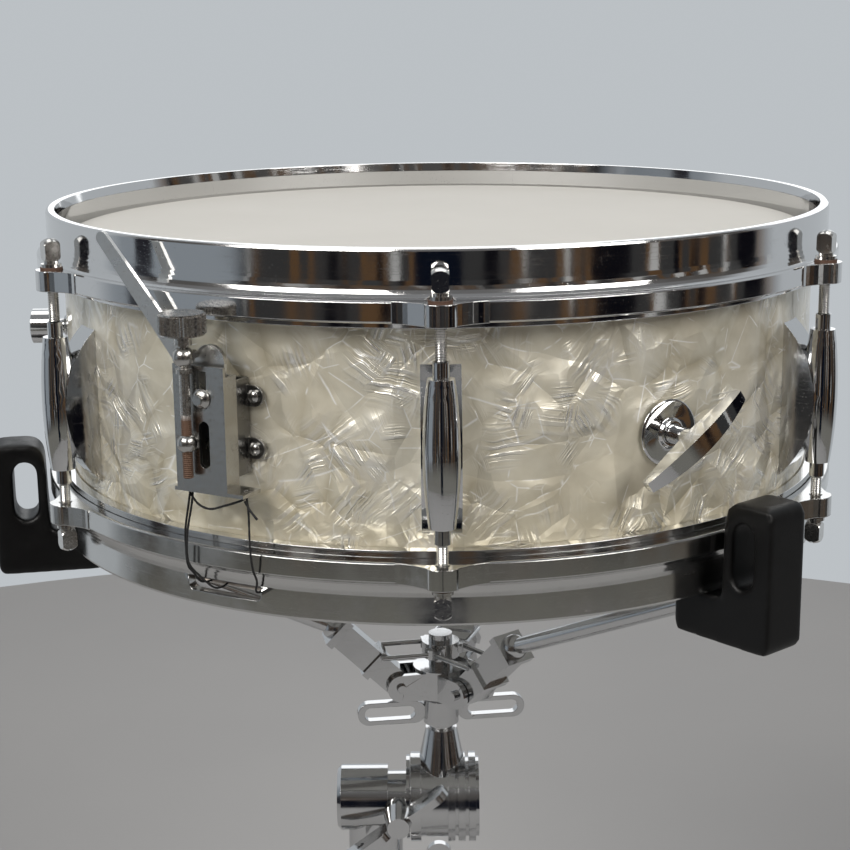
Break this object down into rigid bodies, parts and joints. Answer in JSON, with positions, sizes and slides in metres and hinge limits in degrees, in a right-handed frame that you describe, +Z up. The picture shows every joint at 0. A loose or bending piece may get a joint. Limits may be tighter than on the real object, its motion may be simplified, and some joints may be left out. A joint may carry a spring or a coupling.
{
  "type": "snare drum on stand",
  "caption": "Pearl-covered wooden snare drum with chrome hoops, lugs, throw-off strainer and T-bar damper, held in a folding tripod basket stand with rubber grips.",
  "frame": {"origin": "on the floor under the middle of the stand tube", "axes": "+Z up along the stand tube; -Y is the front, where a lug faces the player's side view; the drum axis is parallel to Z and offset along +X"},
  "size_m": [0.445, 0.4043, 0.6033],
  "materials": {
    "wood_shell": "satin",
    "pearl_wrap": "gloss",
    "coated_film": "matte",
    "clear_film": "satin",
    "chrome": "mirror",
    "steel": "satin",
    "fibre": "matte",
    "rubber": "satin",
    "cord": "matte",
    "felt": "matte"
  },
  "bodies": {
    "stand": {"lower_tube": "chrome", "leg_collar": "chrome", "height_clamp": "chrome"},
    "runner": {"leg_runner": "chrome"},
    "riser": {"upper_tube": "chrome", "tilter_base": "chrome"},
    "height_bolt": {"height_bolt": "chrome"},
    "tilter_bolt": {"tilter_bolt": "chrome"},
    "basket": {"tilter_head": "chrome", "basket_hub": "chrome", "basket_collar": "chrome"},
    "basket_nut": {"basket_nut": "chrome"},
    "drum": {"shell": "wood_shell", "shell_wrap": "pearl_wrap", "vent_grommet": "chrome", "batter_head": "coated_film", "snare_head": "clear_film", "batter_flesh_hoop": "steel", "snare_flesh_hoop": "steel", "batter_hoop": "chrome", "snare_hoop": "chrome", "lugs": "chrome", "lug_screws": "steel", "batter_rods": "chrome", "snare_rods": "chrome", "rod_washers": "fibre", "strainer_bracket": "steel", "strainer_pivot": "steel", "mounting_screws": "steel", "butt_plate": "steel", "butt_cord": "cord", "damper_roses": "chrome", "damper_bracket": "steel", "tone_bracket": "steel"},
    "lever": {"throw_off_lever": "steel"},
    "carriage": {"upper_trunnion": "steel"},
    "tension_knob": {"tension_knob": "steel"},
    "slider": {"strainer_slider": "steel", "snare_cord": "cord"},
    "snares": {"snare_wires": "steel"},
    "damper_handle": {"damper_handle": "chrome"},
    "damper_arm": {"damper_arm": "steel", "damper_felt": "felt"},
    "tone_knob": {"tone_knob": "chrome"},
    "tone_pad": {"tone_pad": "felt"},
    "leg_1": {"leg_1": "chrome", "foot_1": "rubber"},
    "brace_1": {"brace_1": "chrome"},
    "arm_1": {"basket_arm_1": "chrome", "grip_1": "rubber"},
    "leg_2": {"leg_2": "chrome", "foot_2": "rubber"},
    "brace_2": {"brace_2": "chrome"},
    "arm_2": {"basket_arm_2": "chrome", "grip_2": "rubber"},
    "leg_3": {"leg_3": "chrome", "foot_3": "rubber"},
    "brace_3": {"brace_3": "chrome"},
    "arm_3": {"basket_arm_3": "chrome", "grip_3": "rubber"}
  },
  "joints": [
    {"name": "leg_1_fold", "type": "hinge", "parent": "stand", "child": "leg_1", "pos_m": [-0.0231, 0, 0.205], "axis": [0, -1, 0], "range_deg": [0, 36]},
    {"name": "leg_2_fold", "type": "hinge", "parent": "stand", "child": "leg_2", "pos_m": [0.01155, -0.02, 0.205], "axis": [0.866, 0.5, 0], "range_deg": [0, 36.5]},
    {"name": "leg_3_fold", "type": "hinge", "parent": "stand", "child": "leg_3", "pos_m": [0.01155, 0.02, 0.205], "axis": [-0.866, 0.5, 0], "range_deg": [0, 36.5]},
    {"name": "runner_slide", "type": "slide", "parent": "stand", "child": "runner", "axis": [0, 0, -1], "range_m": [0, 0.0461]},
    {"name": "brace_1_fold", "type": "hinge", "parent": "runner", "child": "brace_1", "pos_m": [-0.0231, 0, 0.08213], "axis": [0, -1, 0], "range_deg": [-36.5, 0]},
    {"name": "brace_2_fold", "type": "hinge", "parent": "runner", "child": "brace_2", "pos_m": [0.01155, -0.02, 0.08213], "axis": [0.866, 0.5, 0], "range_deg": [-36.5, 0]},
    {"name": "brace_3_fold", "type": "hinge", "parent": "runner", "child": "brace_3", "pos_m": [0.01155, 0.02, 0.08213], "axis": [-0.866, 0.5, 0], "range_deg": [-36.5, 0]},
    {"name": "height_slide", "type": "slide", "parent": "stand", "child": "riser", "axis": [0, 0, 1], "range_m": [0, 0.15]},
    {"name": "height_bolt_turn", "type": "hinge", "parent": "stand", "child": "height_bolt", "pos_m": [0.02, 0, 0.24], "axis": [1, 0, 0], "range_deg": [0, 360]},
    {"name": "basket_tilt", "type": "hinge", "parent": "riser", "child": "basket", "pos_m": [0.0345, 0, 0.29], "axis": [1, 0, 0], "range_deg": [-30, 30]},
    {"name": "tilter_bolt_turn", "type": "hinge", "parent": "riser", "child": "tilter_bolt", "pos_m": [0.0125, -0.02, 0.29], "axis": [0, -1, 0], "range_deg": [0, 360]},
    {"name": "arm_1_open", "type": "hinge", "parent": "basket", "child": "arm_1", "pos_m": [0.04888, -0.01665, 0.355], "axis": [0.757, 0.6534, 0], "range_deg": [0, 12]},
    {"name": "arm_2_open", "type": "hinge", "parent": "basket", "child": "arm_2", "pos_m": [0.01289, -0.00412, 0.355], "axis": [0.1874, -0.9823, 0], "range_deg": [0, 12.2]},
    {"name": "arm_3_open", "type": "hinge", "parent": "basket", "child": "arm_3", "pos_m": [0.04174, 0.02078, 0.355], "axis": [-0.9444, 0.3289, 0], "range_deg": [0, 12.2]},
    {"name": "basket_nut_turn", "type": "hinge", "parent": "basket", "child": "basket_nut", "pos_m": [0.0345, 0, 0.339], "axis": [0, 0, 1], "range_deg": [0, 721]},
    {"name": "drum_lift", "type": "slide", "parent": "basket", "child": "drum", "axis": [0, 0, 1], "range_m": [0, 0.15]},
    {"name": "lever_throw", "type": "hinge", "parent": "drum", "child": "lever", "pos_m": [-0.05582, -0.16775, 0.541], "axis": [-0.4879, -0.8729, 0], "range_deg": [0, 95.5]},
    {"name": "carriage_drop", "type": "slide", "parent": "drum", "child": "carriage", "axis": [0, 0, -1], "range_m": [0, 0.007]},
    {"name": "snare_drop", "type": "slide", "parent": "drum", "child": "snares", "axis": [0, 0, -1], "range_m": [0, 0.0036]},
    {"name": "tension_turn", "type": "hinge", "parent": "carriage", "child": "tension_knob", "pos_m": [-0.06499, -0.17351, 0.555], "axis": [0, 0, 1], "range_deg": [-721, 721]},
    {"name": "slider_travel", "type": "slide", "parent": "carriage", "child": "slider", "axis": [0, 0, 1], "range_m": [-0.0016, 0.0016], "deforming": ["snare_cord"]},
    {"name": "damper_turn", "type": "hinge", "parent": "drum", "child": "damper_handle", "pos_m": [0.13292, -0.16252, 0.5205], "axis": [0.518, -0.8554, 0], "range_deg": [0, 150]},
    {"name": "damper_rise", "type": "slide", "parent": "drum", "child": "damper_arm", "axis": [0, 0, 1], "range_m": [0, 0.0049]},
    {"name": "tone_turn", "type": "hinge", "parent": "drum", "child": "tone_knob", "pos_m": [-0.15548, -0.00265, 0.54], "axis": [-0.9999, -0.014, 0], "range_deg": [0, 360]},
    {"name": "tone_rise", "type": "slide", "parent": "drum", "child": "tone_pad", "axis": [0, 0, 1], "range_m": [0, 0.0049]}
  ],
  "couplings": [
    {"joint": "leg_2_fold", "follows": "leg_1_fold", "ratio": 1},
    {"joint": "leg_3_fold", "follows": "leg_1_fold", "ratio": 1},
    {"joint": "runner_slide", "follows": "leg_1_fold", "m_per_rad": 0.072555},
    {"joint": "brace_1_fold", "follows": "leg_1_fold", "ratio": -1},
    {"joint": "brace_2_fold", "follows": "leg_1_fold", "ratio": -1},
    {"joint": "brace_3_fold", "follows": "leg_1_fold", "ratio": -1},
    {"joint": "arm_2_open", "follows": "arm_1_open", "ratio": 1},
    {"joint": "arm_3_open", "follows": "arm_1_open", "ratio": 1},
    {"joint": "basket_nut_turn", "follows": "arm_1_open", "ratio": 60},
    {"joint": "lever_throw", "follows": "carriage_drop", "rad_per_m": 236.87},
    {"joint": "snare_drop", "follows": "carriage_drop", "ratio": 0.5},
    {"joint": "tension_turn", "follows": "slider_travel", "rad_per_m": -7854},
    {"joint": "damper_rise", "follows": "damper_turn", "m_per_rad": 0.0018335},
    {"joint": "tone_rise", "follows": "tone_turn", "m_per_rad": 0.00076394}
  ]
}
